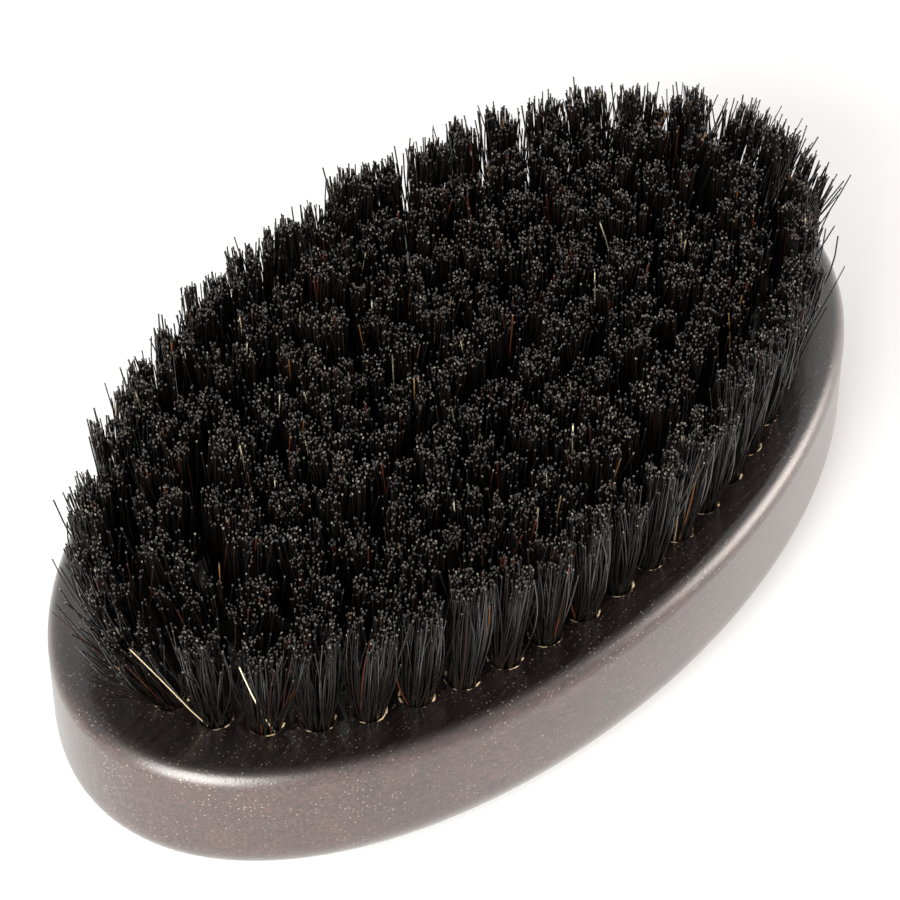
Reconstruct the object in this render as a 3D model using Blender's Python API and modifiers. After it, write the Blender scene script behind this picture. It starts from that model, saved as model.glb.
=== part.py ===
"""A palm-held oval beard brush, lying on its back with the bristles up.

A one-piece hardwood back is drilled from its bristle face with blind holes, in four oval
rings round a centre row. Each hole holds a tuft of boar bristle, folded double and pinned at
the bottom of the hole by a short anchor of flat wire.

Metres, +Z up. The origin is the middle of the flat that the brush rests on.
"""

import math

import bmesh
import bpy
import numpy as np
from mathutils import Matrix, Vector

# The hardwood back
BACK_LENGTH = 0.115
BACK_WIDTH = 0.0658
BACK_HEIGHT = 0.017
FACE_ROUND = 0.002  # radius of the edge round the bristle face
WALL_FOOT = 0.0065  # height at which the straight wall starts to curve under
UNDER_INSET = 0.013  # how far in the curve goes before the resting flat
UNDER_SQUARENESS = 2.4  # 2 is an elliptical curve, and more is squarer
UNDER_STEPS = 6
OVAL_SIDES = 64

# The holes, in rings, each one step inside the last and a little squarer at its ends
HOLE_DIAMETER = 0.0034
HOLE_DEPTH = 0.008
HOLE_SIDES = 8
OUTER_RING = (0.049, 0.0266)  # half length and half width through the hole centres
RING_STEP = 0.00665
RING_COUNTS = (46, 36, 28, 22)  # holes in each ring, outermost first
RING_SQUARENESS = (2.0, 2.08, 2.2, 2.7)  # 2 is an ellipse
ROW_COUNT = 9
ROW_LENGTH = 0.043

# The tufts
CLEARANCE = 0.0003
TUFT_SIDES = 6
TUFT_HEIGHT = 0.014  # from the bristle face to the cut tips
TUFT_WAIST = 0.006  # height at which a tuft has spread past its hole
TIP_DIAMETER = 0.0048
BAND_WIDTH = 0.0046  # tips of an inner ring, which run together
RING_LEANS = (0.0010, 0.0007, 0.0004, 0.0002)  # how far each ring's tips lean outwards

# The anchors, cut from flat wire
ANCHOR_LENGTH = HOLE_DIAMETER - 2 * CLEARANCE - 0.0001
ANCHOR_HEIGHT = 0.0016
ANCHOR_THICKNESS = 0.0004

ROOT_DEPTH = HOLE_DEPTH - ANCHOR_HEIGHT - 2 * CLEARANCE  # a tuft ends just above its anchor
ROOT_DIAMETER = HOLE_DIAMETER - 2 * CLEARANCE
ARC_SAMPLES = 3600


def clear_scene():
    for thing in list(bpy.data.objects):
        bpy.data.objects.remove(thing)


def new_collection(name):
    made = bpy.data.collections.new(name)
    bpy.context.scene.collection.children.link(made)
    return made


def finish_material(name, colour, roughness, metallic=0.0):
    made = bpy.data.materials.new(name)
    made.use_nodes = True
    shader = made.node_tree.nodes["Principled BSDF"]
    shader.inputs["Base Color"].default_value = (*colour, 1.0)
    shader.inputs["Roughness"].default_value = roughness
    shader.inputs["Metallic"].default_value = metallic
    return made


def add_object(name, bm, collection, material=None):
    """Turns a bmesh into a named object, smooth except at its sharp edges."""
    mesh = bpy.data.meshes.new(name)
    bmesh.ops.recalc_face_normals(bm, faces=bm.faces)
    bm.to_mesh(mesh)
    bm.free()
    mesh.shade_smooth()
    mesh.set_sharp_from_angle(angle=math.radians(40))
    made = bpy.data.objects.new(name, mesh)
    collection.objects.link(made)
    if material:
        mesh.materials.append(material)
    return made


def hide_helper(helper):
    helper.hide_render = True
    helper.display_type = "WIRE"


def ring_size(ring):
    """Half length and half width of a ring of holes, 0 being the outermost."""
    return OUTER_RING[0] - ring * RING_STEP, OUTER_RING[1] - ring * RING_STEP


def ring_places(ring, count):
    """(centre, outward direction) of points spaced equally along a ring."""
    half_length, half_width = ring_size(ring)
    squareness = RING_SQUARENESS[ring]
    turn = np.linspace(0.0, 2 * math.pi, ARC_SAMPLES + 1)
    across = np.sign(np.cos(turn)) * np.abs(np.cos(turn)) ** (2 / squareness)
    along = np.sign(np.sin(turn)) * np.abs(np.sin(turn)) ** (2 / squareness)
    x = half_length * across
    y = half_width * along
    run = np.concatenate([[0.0], np.cumsum(np.hypot(np.diff(x), np.diff(y)))])
    stations = np.arange(count) * run[-1] / count
    places = []
    for px, py in zip(np.interp(stations, run, x), np.interp(stations, run, y)):
        slope_x = math.copysign(abs(px / half_length) ** (squareness - 1), px) / half_length
        slope_y = math.copysign(abs(py / half_width) ** (squareness - 1), py) / half_width
        places.append((Vector((px, py, 0.0)), Vector((slope_x, slope_y, 0.0)).normalized()))
    return places


def row_places():
    """(centre, no direction) of each hole of the straight row in the middle."""
    step = ROW_LENGTH / (ROW_COUNT - 1)
    first = -ROW_LENGTH / 2
    return [(Vector((first + index * step, 0.0, 0.0)), Vector()) for index in range(ROW_COUNT)]


def all_places():
    rings = [place for ring, count in enumerate(RING_COUNTS) for place in ring_places(ring, count)]
    return rings + row_places()


def back_board():
    """An oval board: rounded round the face, then let down to the flat in even insets."""
    bm = bmesh.new()
    wall = BACK_HEIGHT - WALL_FOOT
    shape = Matrix.Translation((0, 0, WALL_FOOT + wall / 2)) @ Matrix.Diagonal(
        (BACK_LENGTH / 2, BACK_WIDTH / 2, 1, 1)
    )
    bmesh.ops.create_cone(
        bm, cap_ends=True, segments=OVAL_SIDES, radius1=1, radius2=1, depth=wall, matrix=shape
    )
    face_rim = [e for e in bm.edges if all(v.co.z > BACK_HEIGHT - 1e-6 for v in e.verts)]
    bmesh.ops.bevel(bm, geom=face_rim, offset=FACE_ROUND, segments=3, profile=0.5, affect="EDGES")
    under = min(bm.faces, key=lambda face: face.calc_center_median().z)
    power = 2 / UNDER_SQUARENESS
    inset, drop = 0.0, 0.0
    for step in range(1, UNDER_STEPS + 1):
        turn = step / UNDER_STEPS * math.pi / 2
        next_inset = UNDER_INSET * (1 - max(math.cos(turn), 0.0) ** power)
        next_drop = WALL_FOOT * math.sin(turn) ** power
        bmesh.ops.inset_region(
            bm,
            faces=[under],
            thickness=next_inset - inset,
            depth=next_drop - drop,
            use_even_offset=True,
        )
        inset, drop = next_inset, next_drop
    return bm


def hole_cutters():
    bm = bmesh.new()
    over = 0.001  # the cutters stand proud of the face
    for centre, _ in all_places():
        middle = centre + Vector((0, 0, BACK_HEIGHT + (over - HOLE_DEPTH) / 2))
        bmesh.ops.create_cone(
            bm,
            cap_ends=True,
            segments=HOLE_SIDES,
            radius1=HOLE_DIAMETER / 2,
            radius2=HOLE_DIAMETER / 2,
            depth=HOLE_DEPTH + over,
            matrix=Matrix.Translation(middle),
        )
    return bm


def add_back(collection, cutters):
    wood = finish_material("lacquered_dark_hardwood", (0.030, 0.016, 0.012), 0.32)
    back = add_object("wood_back", back_board(), collection, wood)
    drill = add_object("hole_drill", hole_cutters(), cutters)
    hide_helper(drill)
    holes = back.modifiers.new("holes", "BOOLEAN")
    holes.operation = "DIFFERENCE"
    holes.solver = "EXACT"
    holes.object = drill
    return back


def grow_tuft(bm, centre, lean, top):
    """A round foot in the hole, drawn out past the mouth and spread towards the tips."""
    foot = ROOT_DEPTH
    bmesh.ops.create_cone(
        bm,
        cap_ends=True,
        segments=TUFT_SIDES,
        radius1=ROOT_DIAMETER / 2,
        radius2=ROOT_DIAMETER / 2,
        depth=foot,
        matrix=Matrix.Translation(centre + Vector((0, 0, BACK_HEIGHT - foot / 2))),
    )
    bm.faces.ensure_lookup_table()
    crown = max(bm.faces[-TUFT_SIDES - 2:], key=lambda face: face.calc_center_median().z)
    for height in (TUFT_WAIST, TUFT_HEIGHT):
        reach = min(height, top)
        share = reach / TUFT_HEIGHT
        radius = (ROOT_DIAMETER + (TIP_DIAMETER - ROOT_DIAMETER) * share) / 2
        crown = bmesh.ops.extrude_discrete_faces(bm, faces=[crown])["faces"][0]
        middle = crown.calc_center_median()
        target = centre + lean * share + Vector((0, 0, BACK_HEIGHT + reach))
        spread = radius / (crown.verts[0].co - middle).length
        for vert in crown.verts:
            vert.co = target + (vert.co - middle) * spread
        if reach == top:
            break


def add_outer_tufts(collection, bristle):
    for number, (centre, outward) in enumerate(ring_places(0, RING_COUNTS[0]), start=1):
        bm = bmesh.new()
        grow_tuft(bm, centre, outward * RING_LEANS[0], TUFT_HEIGHT)
        add_object(f"outer_tuft_{number:02d}", bm, collection, bristle)


def crown_band(ring):
    """The closed ribbon of bristle tips of a ring, before Solidify gives it its width."""
    places = ring_places(ring, 2 * RING_COUNTS[ring])
    bm = bmesh.new()
    lower = bmesh.ops.create_circle(bm, segments=len(places), radius=1)["verts"]
    raised = bmesh.ops.extrude_edge_only(bm, edges=bm.edges[:])["geom"]
    upper = [item for item in raised if isinstance(item, bmesh.types.BMVert)]
    for verts, height, share in ((lower, TUFT_WAIST, 0.5), (upper, TUFT_HEIGHT, 1.0)):
        turning = sorted(verts, key=lambda vert: math.atan2(vert.co.y, vert.co.x) % (2 * math.pi))
        for vert, (centre, outward) in zip(turning, places):
            lean = outward * RING_LEANS[ring] * share
            vert.co = centre + lean + Vector((0, 0, BACK_HEIGHT + height))
    return bm


def join_feet(crown, places, leans, cutters):
    """Gives a band of tips the foot of each of its tufts, as one body."""
    bm = bmesh.new()
    for (centre, outward), lean in zip(places, leans):
        grow_tuft(bm, centre, outward * lean, TUFT_WAIST + 4 * CLEARANCE)
    feet = add_object(crown.name + "_feet", bm, cutters)
    hide_helper(feet)
    joint = crown.modifiers.new("feet", "BOOLEAN")
    joint.operation = "UNION"
    joint.solver = "EXACT"
    joint.object = feet


def add_inner_rings(collection, cutters, bristle):
    names = {1: "second_tuft_ring", 2: "third_tuft_ring", 3: "inner_tuft_ring"}
    for ring, name in names.items():
        crown = add_object(name, crown_band(ring), collection, bristle)
        width = crown.modifiers.new("width", "SOLIDIFY")
        width.thickness = BAND_WIDTH
        width.offset = 0.0
        width.use_even_offset = True
        places = ring_places(ring, RING_COUNTS[ring])
        join_feet(crown, places, [RING_LEANS[ring]] * len(places), cutters)


def add_centre_row(collection, cutters, bristle):
    places = row_places()
    bm = bmesh.new()
    height = TUFT_HEIGHT - TUFT_WAIST
    length = places[-1][0].x - places[0][0].x + BAND_WIDTH
    shape = Matrix.Translation((0, 0, BACK_HEIGHT + TUFT_WAIST + height / 2)) @ Matrix.Diagonal(
        (length, BAND_WIDTH, height, 1)
    )
    bmesh.ops.create_cube(bm, size=1, matrix=shape)
    upright = [e for e in bm.edges if abs(e.verts[0].co.z - e.verts[1].co.z) > height / 2]
    bmesh.ops.bevel(
        bm, geom=upright, offset=BAND_WIDTH / 3, segments=2, profile=0.5, affect="EDGES"
    )
    crown = add_object("centre_tuft_row", bm, collection, bristle)
    join_feet(crown, places, [0.0] * len(places), cutters)


def add_centre_anchors(collection):
    wire = finish_material("galvanised_wire", (0.45, 0.44, 0.42), 0.35, 1.0)
    middle = BACK_HEIGHT - HOLE_DEPTH + CLEARANCE + ANCHOR_HEIGHT / 2
    for number, (centre, _) in enumerate(row_places(), start=1):
        bm = bmesh.new()
        shape = Matrix.Translation(centre + Vector((0, 0, middle))) @ Matrix.Diagonal(
            (ANCHOR_THICKNESS, ANCHOR_LENGTH, ANCHOR_HEIGHT, 1)
        )
        bmesh.ops.create_cube(bm, size=1, matrix=shape)
        bmesh.ops.bevel(
            bm, geom=bm.edges[:], offset=ANCHOR_THICKNESS / 6, segments=1, affect="EDGES"
        )
        add_object(f"centre_anchor_{number}", bm, collection, wire)


def main():
    clear_scene()
    brush = new_collection("beard_brush")
    cutters = new_collection("cutters")
    frame = bpy.data.objects.new("beard_brush_frame", None)
    brush.objects.link(frame)
    add_back(brush, cutters)
    bristle = finish_material("black_boar_bristle", (0.012, 0.010, 0.009), 0.55)
    add_outer_tufts(brush, bristle)
    add_inner_rings(brush, cutters, bristle)
    add_centre_row(brush, cutters, bristle)
    add_centre_anchors(brush)
    for piece in brush.objects:
        if piece is not frame:
            piece.parent = frame


main()
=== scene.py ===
"""A palm-held oval beard brush, lying on its back with its bristles up.

A one-piece hardwood back is drilled from above with blind holes, in four oval rings round a
centre row. Each hole holds a tuft of black boar bristle, folded double and pinned at the
bottom by a short anchor of flat wire. Metres, +Z up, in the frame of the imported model.
"""

import math

import bmesh
import bpy
import numpy as np
from mathutils import Matrix, Vector


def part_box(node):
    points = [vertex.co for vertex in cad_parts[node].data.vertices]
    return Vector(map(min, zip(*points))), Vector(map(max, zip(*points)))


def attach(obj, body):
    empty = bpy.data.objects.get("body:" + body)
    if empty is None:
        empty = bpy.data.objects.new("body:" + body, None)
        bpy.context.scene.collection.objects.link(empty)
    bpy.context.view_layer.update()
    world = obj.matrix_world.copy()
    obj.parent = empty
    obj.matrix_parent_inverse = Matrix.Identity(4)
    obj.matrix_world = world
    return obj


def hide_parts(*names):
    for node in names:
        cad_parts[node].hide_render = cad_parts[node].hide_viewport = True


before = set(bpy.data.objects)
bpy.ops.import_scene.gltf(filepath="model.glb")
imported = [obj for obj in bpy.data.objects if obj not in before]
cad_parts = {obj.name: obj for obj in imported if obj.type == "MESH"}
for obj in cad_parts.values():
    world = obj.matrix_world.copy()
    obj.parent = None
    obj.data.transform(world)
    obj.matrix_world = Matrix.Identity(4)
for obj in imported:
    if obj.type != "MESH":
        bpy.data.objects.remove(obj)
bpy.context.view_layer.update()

# --- The hardwood back ---------------------------------------------------------------------
# One oval block of dark hardwood, shaped on a moulder: a rolled edge round the bristle face,
# a straight wall, and an underside that curves in to the flat it rests on. It was stained
# reddish brown and sprayed with clear lacquer before it was drilled.

MM = 0.001
back_low, back_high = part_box("wood_back")
BACK_LENGTH = back_high.x - back_low.x
BACK_WIDTH = back_high.y - back_low.y
FACE = back_high.z
RIM_SIDES = 240
FACE_ROUND = 2.0 * MM
ROUND_STEPS = 8
WALL_FOOT = 6.5 * MM  # above the table, where the straight wall ends
UNDER_INSET = 13.0 * MM  # how far in the curve under the wall goes before the resting flat
UNDER_SQUARENESS = 2.4  # 2 is a quarter of an ellipse
UNDER_STEPS = 16
DOME = 0.05 * MM  # sanding leaves the outer part of the face a little lower
DOME_REACH = 4.0 * MM
DOME_STEPS = 5
FLAT_MARGIN = 0.3 * MM  # a narrow ring of faces keeps the shading of the flat face flat
LEVEL = 0.9  # a face whose normal rises or drops this much looks up or down
CREASE_ANGLE = math.radians(30)


def select_faces(piece, wanted):
    """In edit mode, selects just the faces whose centre and normal are wanted."""
    mesh = bmesh.from_edit_mesh(piece.data)
    for face in mesh.faces:
        face.select_set(bool(wanted(face.calc_center_median(), face.normal)))
    bmesh.update_edit_mesh(piece.data)


def edit(piece, mode="FACE"):
    """Enters edit mode on this piece alone, with nothing selected."""
    bpy.ops.object.select_all(action="DESELECT")
    bpy.context.view_layer.objects.active = piece
    piece.select_set(True)
    bpy.ops.object.mode_set(mode="EDIT")
    bpy.ops.mesh.select_mode(type=mode)
    bpy.ops.mesh.select_all(action="DESELECT")


def settle(piece):
    """Moves the piece's place, turn and size into its mesh."""
    bpy.ops.object.select_all(action="DESELECT")
    bpy.context.view_layer.objects.active = piece
    piece.select_set(True)
    bpy.ops.object.transform_apply(location=True, rotation=True, scale=True)


bpy.ops.mesh.primitive_cylinder_add(
    vertices=RIM_SIDES,
    radius=0.5,
    depth=FACE - DOME - WALL_FOOT,
    location=(0, 0, (FACE - DOME + WALL_FOOT) / 2),
)
back = bpy.context.object
back.name = "lacquered_hardwood_back"
back.scale = (BACK_LENGTH, BACK_WIDTH, 1)
settle(back)

edit(back)
select_faces(back, lambda centre, normal: normal.z > LEVEL)
bpy.ops.mesh.region_to_loop()
bpy.ops.mesh.bevel(offset=FACE_ROUND, segments=ROUND_STEPS, profile=0.5, affect="EDGES")
bpy.ops.mesh.select_mode(type="FACE")
select_faces(back, lambda centre, normal: normal.z > LEVEL and centre.xy.length < MM)
dome_rise = [DOME * (1 - (1 - step / DOME_STEPS) ** 2) for step in range(DOME_STEPS + 1)]
for below, above in zip(dome_rise, dome_rise[1:]):
    bpy.ops.mesh.inset(thickness=DOME_REACH / DOME_STEPS, depth=above - below)
bpy.ops.mesh.inset(thickness=FLAT_MARGIN, depth=0)

select_faces(back, lambda centre, normal: normal.z < -LEVEL)
power = 2 / UNDER_SQUARENESS
turns = [step / UNDER_STEPS * math.pi / 2 for step in range(UNDER_STEPS + 1)]
under_insets = [UNDER_INSET * (1 - math.cos(turn) ** power) for turn in turns]
under_drops = [WALL_FOOT * math.sin(turn) ** power for turn in turns]
for step in range(UNDER_STEPS):
    bpy.ops.mesh.inset(
        thickness=under_insets[step + 1] - under_insets[step],
        depth=under_drops[step + 1] - under_drops[step],
    )
bpy.ops.object.mode_set(mode="OBJECT")

# --- The drilled holes ---------------------------------------------------------------------
# Blind holes, bored after lacquering in four oval rings and one straight row, so that the raw wood
# shows where the drill's shoulder has broken the edge of each mouth, its pale colour there partly a
# painted highlight.

HOLE_RADIUS = 1.7 * MM
HOLE_DEPTH = 8.0 * MM
HOLE_SIDES = 24
COUNTERSINK = 0.12 * MM  # deep, where the drill's shoulder breaks the edge
COUNTERSINK_WIDTH = 0.25 * MM
OUTER_RING = (49.0 * MM, 26.6 * MM)  # half length and half width through the hole centres
RING_STEP = 6.65 * MM
RING_COUNTS = (46, 36, 28, 22)
RING_SQUARENESS = (2.0, 2.08, 2.2, 2.7)  # 2 is an ellipse
RING_NAMES = ("outer", "second", "third", "inner")
ROW_COUNT = 9
ROW_LENGTH = 43.0 * MM
RING_STATIONS = 3601  # points along a ring, from which its holes are spaced out


def ring_places(ring, count):
    """The centre and outward direction of each hole along a ring, equally spaced."""
    half_length = OUTER_RING[0] - ring * RING_STEP
    half_width = OUTER_RING[1] - ring * RING_STEP
    squareness = RING_SQUARENESS[ring]
    turn = np.linspace(0.0, 2 * math.pi, RING_STATIONS)
    x = half_length * np.sign(np.cos(turn)) * np.abs(np.cos(turn)) ** (2 / squareness)
    y = half_width * np.sign(np.sin(turn)) * np.abs(np.sin(turn)) ** (2 / squareness)
    run = np.concatenate([[0.0], np.cumsum(np.hypot(np.diff(x), np.diff(y)))])
    stations = np.arange(count) * run[-1] / count
    places = []
    for px, py in zip(np.interp(stations, run, x), np.interp(stations, run, y)):
        slope_x = math.copysign(abs(px / half_length) ** (squareness - 1), px) / half_length
        slope_y = math.copysign(abs(py / half_width) ** (squareness - 1), py) / half_width
        places.append((np.array((px, py)), np.array(Vector((slope_x, slope_y)).normalized())))
    return places


holes = []  # (row of holes, number in it, centre, outward direction)
for ring, count in enumerate(RING_COUNTS):
    for number, (centre, outward) in enumerate(ring_places(ring, count), start=1):
        holes.append((RING_NAMES[ring], number, centre, outward))
for number, x in enumerate(np.linspace(-ROW_LENGTH / 2, ROW_LENGTH / 2, ROW_COUNT), start=1):
    holes.append(("centre", number, np.array((x, 0.0)), np.zeros(2)))

bpy.ops.mesh.primitive_cylinder_add(
    vertices=HOLE_SIDES,
    radius=HOLE_RADIUS,
    depth=HOLE_DEPTH - COUNTERSINK,
    location=(0, 0, FACE - (HOLE_DEPTH + COUNTERSINK) / 2),
)
drill = bpy.context.object
settle(drill)
edit(drill)
select_faces(drill, lambda centre, normal: normal.z > LEVEL)
bpy.ops.mesh.extrude_region_move(TRANSFORM_OT_translate={"value": (0, 0, 2 * COUNTERSINK)})
flare = (HOLE_RADIUS + 2 * COUNTERSINK_WIDTH) / HOLE_RADIUS
bpy.ops.transform.resize(value=(flare, flare, 1))
bpy.ops.object.mode_set(mode="OBJECT")

drills = []
for _, _, centre, _ in holes:
    cutter = bpy.data.objects.new("drill_bit", drill.data.copy())
    cutter.data.transform(Matrix.Translation((*centre, 0)))
    bpy.context.scene.collection.objects.link(cutter)
    drills.append(cutter)
bpy.ops.object.select_all(action="DESELECT")
for cutter in drills:
    cutter.select_set(True)
bpy.context.view_layer.objects.active = drills[0]
bpy.ops.object.join()
cutter = drills[0]
bpy.data.objects.remove(drill)

bpy.ops.object.select_all(action="DESELECT")
bpy.context.view_layer.objects.active = back
back.select_set(True)
boring = back.modifiers.new("boring", "BOOLEAN")
boring.operation = "DIFFERENCE"
boring.solver = "EXACT"
boring.object = cutter
bpy.ops.object.modifier_apply(modifier=boring.name)
bpy.data.objects.remove(cutter)
bpy.ops.object.shade_smooth_by_angle(angle=CREASE_ANGLE)


def linear(code):
    """An sRGB hex colour as linear red, green and blue, and full alpha."""
    shares = [int(code[start : start + 2], 16) / 255 for start in (1, 3, 5)]
    return [s / 12.92 if s <= 0.04045 else ((s + 0.055) / 1.055) ** 2.4 for s in shares] + [1]


def add_node(tree, kind, inputs=(), stops=(), **settings):
    """Adds one shader node: its settings, its inputs as values or links, its colour stops."""
    made = tree.nodes.new("ShaderNode" + kind)
    for name, value in settings.items():
        setattr(made, name, value)
    for name, value in dict(inputs).items():
        if isinstance(value, bpy.types.NodeSocket):
            tree.links.new(value, made.inputs[name])
        else:
            made.inputs[name].default_value = value
    for index, (place, code) in enumerate(stops):
        if index > 1:
            made.color_ramp.elements.new(place)
        made.color_ramp.elements[index].position = place
        made.color_ramp.elements[index].color = linear(code)
    return made


def new_material(name):
    """A material with its Principled shader, and the tree to add nodes to."""
    made = bpy.data.materials.new(name)
    made.use_nodes = True
    return made, made.node_tree, made.node_tree.nodes["Principled BSDF"]


# Stained hardwood under sprayed lacquer. The eye gets a reddish brown that clouds from place to
# place, painted near-black on the bristle face as painted shade under the bristles, fine fibres and
# short pores along the block, a scatter of pale filler specks, and a clear coat that shows soft
# highlights and a grey sheen at low angles.
FIBRE_LENGTH = 9 * MM
FIBRE_WIDTH = 0.3 * MM
PORE_LENGTH = 3.5 * MM
PORE_WIDTH = 0.5 * MM
CLOUD_SIZE = 5 * MM
SPECK_SPACING = 0.38 * MM
SPECK_PATCH = 7 * MM  # the specks lie thicker in some patches of this size than in others
ORANGE_PEEL = 0.35 * MM  # the fine ripple of sprayed lacquer
PEEL_DEPTH = 0.02 * MM
PORE_BROWN = "#140b0a"
SPECK_BEIGE = "#a89a88"

lacquered, tree, shader = new_material("stained_hardwood_clear_lacquer_painted_face_shade")
place = add_node(tree, "TexCoord").outputs["Object"]
fibre_place = add_node(
    tree,
    "Mapping",
    {"Vector": place, "Scale": (1 / FIBRE_LENGTH, 1 / FIBRE_WIDTH, 1 / FIBRE_WIDTH)},
).outputs["Vector"]
fibre = add_node(
    tree, "TexNoise", {"Vector": fibre_place, "Scale": 1, "Detail": 3, "Roughness": 0.6}
).outputs["Fac"]
cloud = add_node(
    tree, "TexNoise", {"Vector": place, "Scale": 1 / CLOUD_SIZE, "Detail": 4, "Roughness": 0.55}
).outputs["Fac"]
pore_place = add_node(
    tree,
    "Mapping",
    {"Vector": place, "Scale": (1 / PORE_LENGTH, 1 / PORE_WIDTH, 1 / PORE_WIDTH)},
).outputs["Vector"]
pore = add_node(tree, "TexVoronoi", {"Vector": pore_place, "Scale": 1}).outputs["Distance"]
pore_mark = add_node(
    tree,
    "MapRange",
    {"Value": pore, "From Min": 0.10, "From Max": 0.22, "To Min": 1.0, "To Max": 0.0},
).outputs["Result"]
speck_cells = add_node(tree, "TexVoronoi", {"Vector": place, "Scale": 1 / SPECK_SPACING})
speck_spot = add_node(
    tree,
    "MapRange",
    {
        "Value": speck_cells.outputs["Distance"],
        "From Min": 0.12,
        "From Max": 0.30,
        "To Min": 1.0,
        "To Max": 0.0,
    },
).outputs["Result"]
speck_pick = add_node(
    tree, "SeparateColor", {"Color": speck_cells.outputs["Color"]}
).outputs["Red"]
speck_patch = add_node(
    tree, "TexNoise", {"Vector": place, "Scale": 1 / SPECK_PATCH, "Detail": 2}
).outputs["Fac"]
speck_chance = add_node(
    tree, "Math", {0: speck_pick, 1: speck_patch}, operation="MULTIPLY"
).outputs[0]
speck_here = add_node(
    tree, "MapRange", {"Value": speck_chance, "From Min": 0.22, "From Max": 0.52}
).outputs["Result"]
speck = add_node(tree, "Math", {0: speck_spot, 1: speck_here}, operation="MULTIPLY").outputs[0]
wall_stain = add_node(
    tree,
    "ValToRGB",
    {"Fac": cloud},
    stops=[(0.34, "#3c2824"), (0.50, "#432c29"), (0.66, "#4a312d")],
).outputs["Color"]
# Painted shade: the bristle face takes a much darker brown than the wall, standing in for the shade
# the bristles cast over it.
face_stain_painted_shade = add_node(
    tree, "ValToRGB", {"Fac": cloud}, stops=[(0.34, "#0f0908"), (0.66, "#1c110f")]
).outputs["Color"]
height = add_node(tree, "SeparateXYZ", {"Vector": place}).outputs["Z"]
on_face = add_node(
    tree, "MapRange", {"Value": height, "From Min": FACE - 1.2 * MM, "From Max": FACE - 0.2 * MM}
).outputs["Result"]
speck_strength = add_node(
    tree, "MapRange", {"Value": on_face, "To Min": 0.75, "To Max": 0.4}
).outputs["Result"]
speck = add_node(tree, "Math", {0: speck, 1: speck_strength}, operation="MULTIPLY").outputs[0]
# The wall's stain, blended near the top into the painted shade of the face.
stain_with_face_shade = add_node(
    tree, "Mix", {"Factor": on_face, 6: wall_stain, 7: face_stain_painted_shade}, data_type="RGBA"
).outputs[2]
streak = add_node(
    tree,
    "ValToRGB",
    {"Fac": fibre},
    stops=[(0.35, "#8a7e7a"), (0.65, "#ffffff")],
).outputs["Color"]
grained = add_node(
    tree,
    "Mix",
    {"Factor": 1.0, 6: stain_with_face_shade, 7: streak},
    data_type="RGBA",
    blend_type="MULTIPLY",
).outputs[2]
pored = add_node(
    tree, "Mix", {"Factor": pore_mark, 6: grained, 7: linear(PORE_BROWN)}, data_type="RGBA"
).outputs[2]
specked = add_node(
    tree, "Mix", {"Factor": speck, 6: pored, 7: linear(SPECK_BEIGE)}, data_type="RGBA"
).outputs[2]
gloss = add_node(
    tree, "MapRange", {"Value": fibre, "To Min": 0.30, "To Max": 0.46}
).outputs["Result"]
peel = add_node(
    tree, "TexNoise", {"Vector": place, "Scale": 1 / ORANGE_PEEL, "Detail": 2}
).outputs["Fac"]
ripple = add_node(tree, "Math", {0: peel, 1: 1.5, 2: fibre}, operation="MULTIPLY_ADD").outputs[0]
satin = add_node(
    tree,
    "MapRange",
    {
        "Value": height,
        "From Min": FACE - 0.30 * MM,
        "From Max": FACE - 0.05 * MM,
        "To Min": 0.34,
        "To Max": 0.17,
    },
).outputs["Result"]
relief = add_node(tree, "Math", {0: pore_mark, 1: -1.0, 2: ripple}, operation="MULTIPLY_ADD")
bump = add_node(
    tree,
    "Bump",
    {"Height": relief.outputs[0], "Strength": 0.5, "Distance": PEEL_DEPTH},
).outputs["Normal"]
tree.links.new(specked, shader.inputs["Base Color"])
tree.links.new(gloss, shader.inputs["Roughness"])
tree.links.new(bump, shader.inputs["Normal"])
tree.links.new(bump, shader.inputs["Coat Normal"])
tree.links.new(satin, shader.inputs["Coat Roughness"])
shader.inputs["IOR"].default_value = 1.5
shader.inputs["Specular Tint"].default_value = linear("#fff2ee")
shader.inputs["Coat Weight"].default_value = 1.0
shader.inputs["Coat IOR"].default_value = 1.57

# The drilled mouths and bores: raw wood, dulled where stain and lacquer dust were dragged in.
# Seen from above it gives each mouth a broken thread of warm, pale edge, partly raw wood and partly
# a painted highlight.
DRAG_LENGTH = 0.9 * MM  # the pale and the dulled stretches round a mouth

drilled, tree, shader = new_material("drilled_raw_hardwood_painted_rim_glint")
place = add_node(tree, "TexCoord").outputs["Object"]
drag = add_node(
    tree, "TexNoise", {"Vector": place, "Scale": 1 / DRAG_LENGTH, "Detail": 3}
).outputs["Fac"]
# The pale stop is partly painted highlight, the glint along the near rims; the dark stop is the
# dulled raw wood.
raw_wood_and_painted_glint = add_node(
    tree,
    "ValToRGB",
    {"Fac": drag},
    stops=[(0.53, "#241611"), (0.60, "#f6d8ac")],
).outputs["Color"]
tree.links.new(raw_wood_and_painted_glint, shader.inputs["Base Color"])
shader.inputs["Roughness"].default_value = 0.6
shader.inputs["IOR"].default_value = 1.5

back.data.materials.clear()
back.data.materials.append(lacquered)
back.data.materials.append(drilled)
hole_centres = np.array([centre for _, _, centre, _ in holes])
for face in back.data.polygons:
    gap = np.linalg.norm(hole_centres - np.array(face.center.xy), axis=1).min()
    below_face = WALL_FOOT < face.center.z < FACE - COUNTERSINK / 4
    if gap < HOLE_RADIUS + COUNTERSINK_WIDTH and below_face:
        face.material_index = 1
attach(back, "root")
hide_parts("wood_back")

# --- The anchors ---------------------------------------------------------------------------
# Short lengths of flat zinc-plated wire. Each one is driven to the bottom of its hole across
# the fold of a tuft, with its sheared ends biting into the wood. Nine of them, under the
# centre row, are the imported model's own; the rest are copies of one modelled here.

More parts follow.
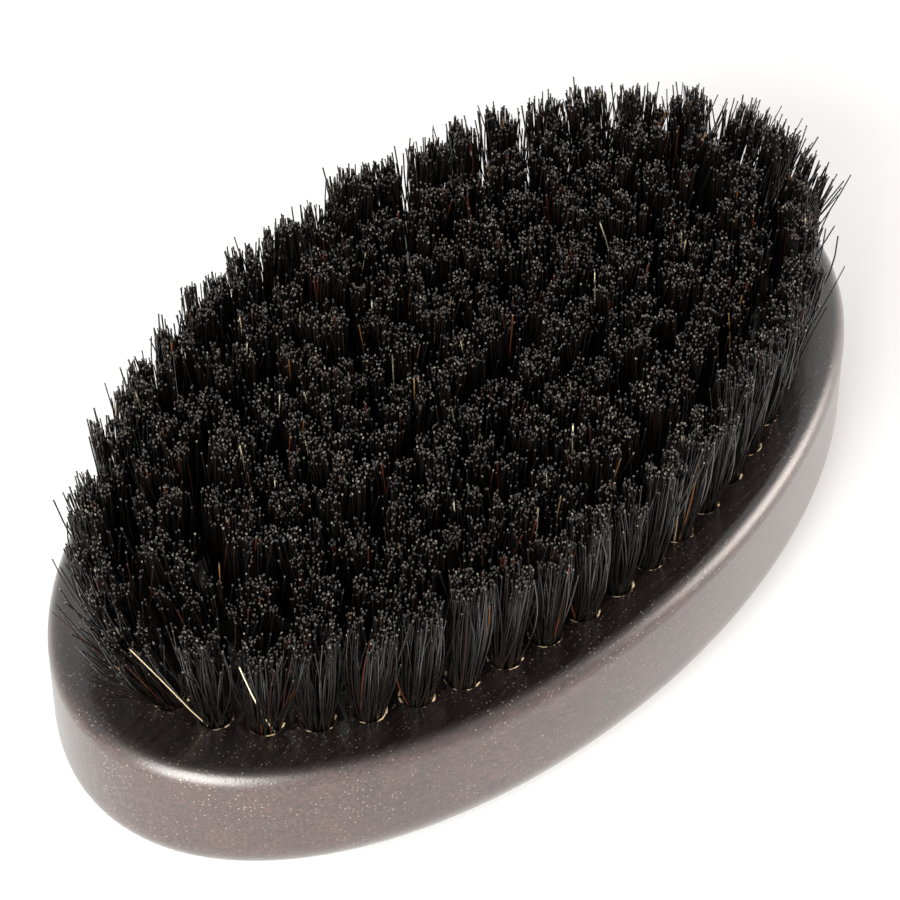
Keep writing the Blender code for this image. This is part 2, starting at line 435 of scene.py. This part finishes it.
anchor_low, anchor_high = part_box("centre_anchor_1")
ANCHOR_SIZE = anchor_high - anchor_low
ANCHOR_HEIGHT = (anchor_low.z + anchor_high.z) / 2
WIRE_EDGE = 0.08 * MM  # the round that drawing leaves on the wire's edges
LINE_LENGTH = 2 * MM
LINE_WIDTH = 0.05 * MM

# Zinc-plated steel wire, drawn and sheared: bright, with drawing lines along it.
plated, tree, shader = new_material("zinc_plated_drawn_wire")
place = add_node(tree, "TexCoord").outputs["Object"]
line_place = add_node(
    tree,
    "Mapping",
    {"Vector": place, "Scale": (1 / LINE_WIDTH, 1 / LINE_LENGTH, 1 / LINE_WIDTH)},
).outputs["Vector"]
lines = add_node(tree, "TexNoise", {"Vector": line_place, "Scale": 1}).outputs["Fac"]
wire_gloss = add_node(
    tree, "MapRange", {"Value": lines, "To Min": 0.25, "To Max": 0.45}
).outputs["Result"]
tree.links.new(wire_gloss, shader.inputs["Roughness"])
shader.inputs["Base Color"].default_value = linear("#b9b9b6")
shader.inputs["Metallic"].default_value = 1.0

bpy.ops.mesh.primitive_cube_add(size=1, location=(0, 0, ANCHOR_HEIGHT))
wire = bpy.context.object
wire.scale = ANCHOR_SIZE
settle(wire)
wire_edge = wire.modifiers.new("drawn_edge", "BEVEL")
wire_edge.width = WIRE_EDGE
wire_edge.segments = 2
bpy.ops.object.modifier_apply(modifier=wire_edge.name)
bpy.ops.object.shade_smooth_by_angle(angle=CREASE_ANGLE)
wire.data.materials.append(plated)
for row, number, centre, outward in holes:
    if row == "centre":
        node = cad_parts[f"centre_anchor_{number}"]
        node.data.materials.clear()
        node.data.materials.append(plated)
        continue
    anchor = bpy.data.objects.new(f"{row}_anchor_{number:02d}", wire.data.copy())
    turned = Matrix.Rotation(math.atan2(outward[1], outward[0]), 4, "Z")
    anchor.data.transform(Matrix.Translation((*centre, 0)) @ turned)
    bpy.context.scene.collection.objects.link(anchor)
    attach(anchor, "root")
bpy.data.objects.remove(wire)

# --- The bristle tufts ---------------------------------------------------------------------
# Each tuft is a pinch of black boar bristle, some 150 ends, folded over its anchor so that it
# is packed tight in the hole and fans out above it. The whole brush was then sheared nearly
# level, which leaves a cut end on every bristle and a few that stood aside and escaped.

TUFT_HEIGHT = 13.9 * MM
ROOT_DEPTH = 5.6 * MM
BRISTLES = 150
BRISTLE_WIDTH = 0.205 * MM  # real ones are about 0.17 mm: a little coarser here, so that each shows
WIDTH_RANGE = (0.8, 1.15)  # a boar's bristles are not all of one width
TAPER = 0.15  # a bristle loses this share of its width towards its tip
FRAYED_END = 1.3  # the cut end is this much wider than the hair
MOUTH_SHARE = 0.30  # of the modelled bristle's length is inside the hole
BEND_SHARES = (0.44, 0.58, 0.72, 0.86)
CUT_SHARE = 0.992  # above this the bristle is the pale, frayed cut end
MOUTH_FILL = 0.93  # of the hole's radius is full of hair at the mouth
ROOT_FILL = 0.8  # and this much at the bottom
TIP_SPREAD = 3.25 * MM
OUTER_SPREAD = 2.8 * MM  # the outer tufts are slimmer, and stand out one by one
FAN_RANGE = (0.88, 1.12)  # some tufts fan out more than others
LOCKS = 6  # the hairs of a tuft cling together in locks
LOCK_REACH = 0.85
LOCK_PULL = 0.5
STRAGGLE = 0.12
PUSHED_ASIDE = 0.9 * MM  # the furthest that handling has pushed a tuft's tips
TUFT_UNEVENNESS = 0.5 * MM
LOCK_UNEVENNESS = 0.45 * MM
HAIR_UNEVENNESS = 0.26 * MM
DEEPEST_SHORT_HAIR = 1.6 * MM
STRAY_SHARE = 0.12
STRAY_REACH = 2.7 * MM
WILD_STRAY_SHARE = 0.25  # more, round the ends of the oval
WILD_STRAY_REACH = 1.8 * MM
LEAN_DROP = 0.3  # a hair that leans out ends lower
BOW = 0.38 * MM
LEAVING_POWER = 0.9  # below 1, a hair leans most where it leaves the hole
INNER_DULLNESS = 0.4  # the crowded inner hairs show less gleam
WILD_GLEAM = 0.5  # the splayed hairs at the ends gleam more
RING_LEANS = {"outer": 1.0 * MM, "second": 0.6 * MM, "third": 0.3 * MM, "inner": 0.15 * MM}
END_LEANS = {"outer": 3.4 * MM, "second": 1.8 * MM}  # more, round the ends of the oval
END_LEAN_POWER = 3  # how closely the extra lean keeps to the ends
WILD_POWER = 4
STANDOUT_HAIRS = {  # shade, then where it leaves the hole and ends, in mm from the hole's centre
    "outer_bristle_tuft_25": (0.998, (-1.4, -0.1), (-7.8, 3.5)),
    "outer_bristle_tuft_26": (1.0, (-0.4, -1.4), (-4.8, -1.2)),
    "outer_bristle_tuft_29": (0.986, (-1.5, 0.0), (-4.1, -0.9)),
}
TUFT_NODES = {
    "second": "second_tuft_ring",
    "third": "third_tuft_ring",
    "inner": "inner_tuft_ring",
    "centre": "centre_tuft_row",
}

# One bristle: a four-sided hair, cut across at the heights where it may bend.
bpy.ops.mesh.primitive_cylinder_add(vertices=4, radius=0.5, depth=1, location=(0, 0, 0.5))
bristle = bpy.context.object
settle(bristle)
edit(bristle, "VERT")
for share in (MOUTH_SHARE, *BEND_SHARES, CUT_SHARE):
    bpy.ops.mesh.select_all(action="SELECT")
    bpy.ops.mesh.bisect(plane_co=(0, 0, share), plane_no=(0, 0, 1))
bpy.ops.object.mode_set(mode="OBJECT")
hair_points = np.array([vertex.co for vertex in bristle.data.vertices])
hair_faces = [tuple(face.vertices) for face in bristle.data.polygons]
hair_cut = [face.center.z > CUT_SHARE for face in bristle.data.polygons]
hair_side = [abs(face.normal.z) < LEVEL for face in bristle.data.polygons]
bpy.data.objects.remove(bristle)

# Boar bristle, washed and undyed: black, with a few brown, foxy and straw hairs among it. The
# scaly surface gives each hair a soft grey gleam along its length.
haired, tree, shader = new_material("black_boar_bristle")
shade = add_node(tree, "Attribute", attribute_name="hair_shade").outputs["Fac"]
hair_colour = add_node(
    tree,
    "ValToRGB",
    {"Fac": shade},
    stops=[
        (0.0, "#0f0d0c"),
        (0.93, "#161210"),
        (0.975, "#2a1912"),
        (0.988, "#471f15"),
        (0.9955, "#66391d"),
        (0.998, "#bd9250"),
        (1.0, "#e8dcb8"),
    ],
).outputs["Color"]
tree.links.new(hair_colour, shader.inputs["Base Color"])
gleam = add_node(tree, "Attribute", attribute_name="hair_gleam").outputs["Fac"]
hair_gloss = add_node(
    tree, "MapRange", {"Value": gleam, "To Min": 0.2, "To Max": 0.42}
).outputs["Result"]
hair_shine = add_node(
    tree, "MapRange", {"Value": gleam, "From Max": 0.7, "To Min": 1.0, "To Max": 0.15}
).outputs["Result"]
tree.links.new(hair_gloss, shader.inputs["Roughness"])
tree.links.new(hair_shine, shader.inputs["Specular IOR Level"])
shader.inputs["IOR"].default_value = 1.5

# The sheared ends: the cut opens the pale pith and frays it, so it reads as a grey-beige dot.
cut, tree, shader = new_material("sheared_bristle_end")
shade = add_node(tree, "Attribute", attribute_name="cut_shade").outputs["Fac"]
cut_colour = add_node(
    tree,
    "ValToRGB",
    {"Fac": shade},
    stops=[
        (0.0, "#161312"),
        (0.3, "#2a2623"),
        (0.5, "#3f302b"),
        (0.6, "#3a3733"),
        (0.85, "#4c4842"),
        (1.0, "#7d776b"),
    ],
).outputs["Color"]
tree.links.new(cut_colour, shader.inputs["Base Color"])
shader.inputs["Roughness"].default_value = 0.6
shader.inputs["IOR"].default_value = 1.55


def disc(chance, count):
    """Points spread evenly over a disc of radius 1."""
    radius = np.sqrt(chance.random(count))
    turn = chance.random(count) * 2 * math.pi
    return np.stack([radius * np.cos(turn), radius * np.sin(turn)], axis=1)


def grow_tuft(name, centre, lean, outer, wild, chance):
    """Lays a copy of the bristle along each hair's own path and joins them into one tuft.

    wild goes from 0, along the sides of the brush, to 1 at its ends, where hairs splay out.
    """
    packed = disc(chance, BRISTLES)
    mouth = centre + packed * HOLE_RADIUS * MOUTH_FILL
    root = centre + packed * (HOLE_RADIUS - BRISTLE_WIDTH) * ROOT_FILL
    locks = disc(chance, LOCKS) * LOCK_REACH
    nearest = np.argmin(np.linalg.norm(packed[:, None] - locks[None], axis=2), axis=1)
    spread = packed * (1 - LOCK_PULL) + locks[nearest] * LOCK_PULL
    spread += chance.normal(0, STRAGGLE, (BRISTLES, 2))
    spread *= chance.uniform(*FAN_RANGE)
    push = disc(chance, 1)[0] * PUSHED_ASIDE
    tip = centre + lean + push + spread * (OUTER_SPREAD if outer else TIP_SPREAD)
    tall = TUFT_HEIGHT + chance.normal(0, TUFT_UNEVENNESS)
    tall = tall + chance.normal(0, HAIR_UNEVENNESS, BRISTLES)
    tall += chance.normal(0, LOCK_UNEVENNESS, LOCKS)[nearest]
    tall -= DEEPEST_SHORT_HAIR * chance.random(BRISTLES) ** 3
    stray = chance.random(BRISTLES) < STRAY_SHARE + WILD_STRAY_SHARE * wild
    tip[stray] += disc(chance, stray.sum()) * (STRAY_REACH + WILD_STRAY_REACH * wild)
    tall -= LEAN_DROP * np.sum((tip - mouth) ** 2, axis=1) / TUFT_HEIGHT
    bow = chance.normal(0, BOW, (BRISTLES, 2))
    width = BRISTLE_WIDTH * chance.uniform(*WIDTH_RANGE, BRISTLES)
    twist = chance.random(BRISTLES) * math.pi
    shade = chance.random(BRISTLES)
    if name in STANDOUT_HAIRS:
        shade[0], leaves, ends = STANDOUT_HAIRS[name]
        mouth[0] = centre + np.array(leaves) * MM
        tip[0] = centre + np.array(ends) * MM

    along = hair_points[None, :, 2]
    above = np.clip((along - MOUTH_SHARE) / (1 - MOUTH_SHARE), 0, 1)[..., None]
    below = np.clip(1 - along / MOUTH_SHARE, 0, 1)[..., None]
    flat = mouth[:, None] + (tip - mouth)[:, None] * above**LEAVING_POWER
    flat = flat + bow[:, None] * np.sin(math.pi * above) + (root - mouth)[:, None] * below
    thick = width[:, None] * (1 - TAPER * above[..., 0])
    thick = thick * np.where(along > CUT_SHARE, FRAYED_END, 1)
    cos, sin = np.cos(twist)[:, None], np.sin(twist)[:, None]
    x = flat[..., 0] + thick * (cos * hair_points[:, 0] - sin * hair_points[:, 1])
    y = flat[..., 1] + thick * (sin * hair_points[:, 0] + cos * hair_points[:, 1])
    z = FACE + tall[:, None] * above[..., 0] - ROOT_DEPTH * below[..., 0]
    points = np.stack([x, y, z], axis=2).reshape(-1, 3)

    step = len(hair_points)
    faces = [[v + step * hair for v in face] for hair in range(BRISTLES) for face in hair_faces]
    mesh = bpy.data.meshes.new(name)
    mesh.from_pydata(points.tolist(), [], faces)
    mesh.polygons.foreach_set("use_smooth", np.tile(hair_side, BRISTLES))
    mesh.polygons.foreach_set("material_index", np.tile(hair_cut, BRISTLES).astype(np.int32))
    cut_shade, gleam = chance.random((2, BRISTLES))
    if outer:
        gleam = gleam * (1 - WILD_GLEAM * wild)
    else:
        gleam = INNER_DULLNESS + (1 - INNER_DULLNESS) * gleam
    for label, values in (("hair_shade", shade), ("cut_shade", cut_shade), ("hair_gleam", gleam)):
        attribute = mesh.attributes.new(label, "FLOAT", "POINT")
        attribute.data.foreach_set("value", np.repeat(values, step).astype(np.float32))
    mesh.materials.append(haired)
    mesh.materials.append(cut)
    mesh.update()
    tuft = bpy.data.objects.new(name, mesh)
    bpy.context.scene.collection.objects.link(tuft)
    return tuft


for index, (row, number, centre, outward) in enumerate(holes):
    lean = outward * RING_LEANS.get(row, 0.0)
    if row in END_LEANS:
        lean = lean + outward * END_LEANS[row] * abs(outward[0]) ** END_LEAN_POWER
    wild = abs(outward[0]) ** WILD_POWER if row == "outer" else 0.0
    chance = np.random.default_rng(index)
    name = f"{row}_bristle_tuft_{number:02d}"
    tuft = grow_tuft(name, centre, lean, row == "outer", wild, chance)
    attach(tuft, "root")
    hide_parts(TUFT_NODES.get(row, f"outer_tuft_{number:02d}"))

# --- The floor, the light and the camera ---------------------------------------------------
# White paper on a table, in a bright tent whose roof is darker than its walls. A large soft
# light at the left end draws the bright line along the rolled edge, a small one at the right
# picks out the flank, and a weak one at the front lifts the near tufts.

bpy.ops.mesh.primitive_plane_add(size=4.0, location=(0, 0, 0))
floor = bpy.context.object
floor.name = "studio_floor"
paper, tree, shader = new_material("white_studio_paper")
shader.inputs["Base Color"].default_value = linear("#f7f7f7")
shader.inputs["Roughness"].default_value = 0.7
floor.data.materials.append(paper)


def softbox(name, place, size, strength, code):
    """A rectangular light that faces the brush, as bright as strength whatever its size."""
    lamp = bpy.data.lights.new(name, "AREA")
    lamp.color = linear(code)[:3]
    lamp.shape = "RECTANGLE"
    lamp.size, lamp.size_y = size
    lamp.energy = strength * math.pi * size[0] * size[1]
    made = bpy.data.objects.new(name, lamp)
    made.location = place
    toward = Vector((0, 0, FACE)) - made.location
    made.rotation_euler = toward.to_track_quat("-Z", "Y").to_euler()
    bpy.context.scene.collection.objects.link(made)


softbox("left_softbox", (-0.43, -0.09, 0.19), (0.30, 0.34), 13.8, "#fdfffb")
softbox("front_softbox", (-0.24, -0.36, 0.14), (0.36, 0.24), 0.35, "#ffffff")
softbox("right_softbox", (0.35, -0.29, 0.17), (0.24, 0.24), 10.0, "#fff6f0")

TENT_GLOW, ROOF_GLOW = 0.93, 0.2
ROOF_FROM, ROOF_TO = 0.72, 0.88  # the sine of the height at which the roof starts and is full

world = bpy.data.worlds.new("studio")
world.use_nodes = True
backdrop = world.node_tree.nodes["Background"]
upward = add_node(
    world.node_tree,
    "SeparateXYZ",
    {"Vector": add_node(world.node_tree, "TexCoord").outputs["Generated"]},
).outputs["Z"]
brightness = add_node(
    world.node_tree,
    "MapRange",
    {
        "Value": upward,
        "From Min": ROOF_FROM,
        "From Max": ROOF_TO,
        "To Min": TENT_GLOW,
        "To Max": ROOF_GLOW,
    },
    interpolation_type="SMOOTHSTEP",
).outputs["Result"]
backdrop.inputs["Color"].default_value = linear("#ffffff")
world.node_tree.links.new(brightness, backdrop.inputs["Strength"])
bpy.context.scene.world = world
bpy.context.scene.view_settings.view_transform = "Standard"

CAMERA_AZIMUTH = math.radians(-52.16)
CAMERA_ELEVATION = math.radians(43.0)
CAMERA_DISTANCE = 380 * MM
CAMERA_TARGET = Vector((-1.6 * MM, 0.8 * MM, 16.2 * MM))
CAMERA_LENS = 138.2  # in millimetres of focal length, on a 36 mm sensor
behind = Vector(
    (
        math.sin(CAMERA_AZIMUTH) * math.cos(CAMERA_ELEVATION),
        -math.cos(CAMERA_AZIMUTH) * math.cos(CAMERA_ELEVATION),
        math.sin(CAMERA_ELEVATION),
    )
)
lens = bpy.data.cameras.new("camera")
lens.lens = CAMERA_LENS
lens.sensor_width = 36
camera = bpy.data.objects.new("camera", lens)
camera.location = CAMERA_TARGET + behind * CAMERA_DISTANCE
camera.rotation_mode = "QUATERNION"
camera.rotation_quaternion = (-behind).to_track_quat("-Z", "Y")
bpy.context.scene.collection.objects.link(camera)
bpy.context.scene.camera = camera
